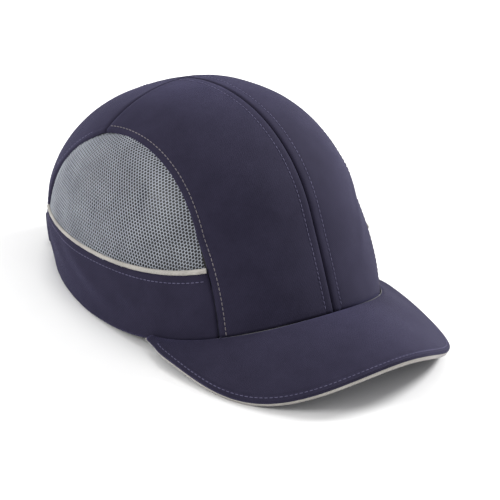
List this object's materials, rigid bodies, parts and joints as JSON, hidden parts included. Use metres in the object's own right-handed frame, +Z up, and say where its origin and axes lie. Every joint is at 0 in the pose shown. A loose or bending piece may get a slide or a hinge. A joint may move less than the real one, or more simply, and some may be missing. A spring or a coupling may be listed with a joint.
{
  "type": "bump cap",
  "caption": "Fabric bump cap with a curved peak, breathable side nets, light piping, a rear opening with a hook-and-loop strap, and a removable padded plastic insert.",
  "frame": {"origin": "centre of the head opening, on the surface the cap stands on", "axes": "-Y the way the peak points, +X the wearer's left, +Z up"},
  "size_m": [0.1936, 0.3034, 0.1386],
  "materials": {
    "navy_twill": "matte twill",
    "grey_net": "open knitted net",
    "reflective_piping": "satin",
    "peak_board": "matte",
    "sweatband_cloth": "matte",
    "seam_tape": "matte",
    "binding_tape": "matte",
    "strap_webbing": "matte",
    "ring_plastic": "satin",
    "insert_plastic": "satin",
    "pad_foam": "matte foam"
  },
  "bodies": {
    "cap": {"front_panel_left": "navy_twill", "front_panel_right": "navy_twill", "rear_panel_left": "navy_twill", "rear_panel_right": "navy_twill", "side_mesh_left": "grey_net", "side_mesh_right": "grey_net", "side_band_left": "navy_twill", "side_band_right": "navy_twill", "side_piping_left": "reflective_piping", "side_piping_right": "reflective_piping", "peak_board": "peak_board", "peak_top_cover": "navy_twill", "peak_under_cover": "navy_twill", "peak_piping": "reflective_piping", "sweatband": "sweatband_cloth", "centre_seam_tape": "seam_tape", "rear_arch_binding": "binding_tape", "loop_strap": "strap_webbing", "ring_tab": "strap_webbing", "strap_ring": "ring_plastic"},
    "strap_tail": {"hook_tail": "strap_webbing"},
    "insert": {"insert_shell": "insert_plastic", "crown_pad": "pad_foam", "front_pad": "pad_foam", "side_pad_left": "pad_foam", "side_pad_right": "pad_foam"}
  },
  "joints": [
    {"name": "strap_tail_hinge", "type": "hinge", "parent": "cap", "child": "strap_tail", "pos_m": [-0.04389, 0.10578, 0.0102], "axis": [0.0786, 0.4208, 0.9038], "range_deg": [0, 110]},
    {"name": "insert_slide", "type": "slide", "parent": "cap", "child": "insert", "axis": [0, -0.4067, -0.9136], "range_m": [0, 0.13]}
  ]
}
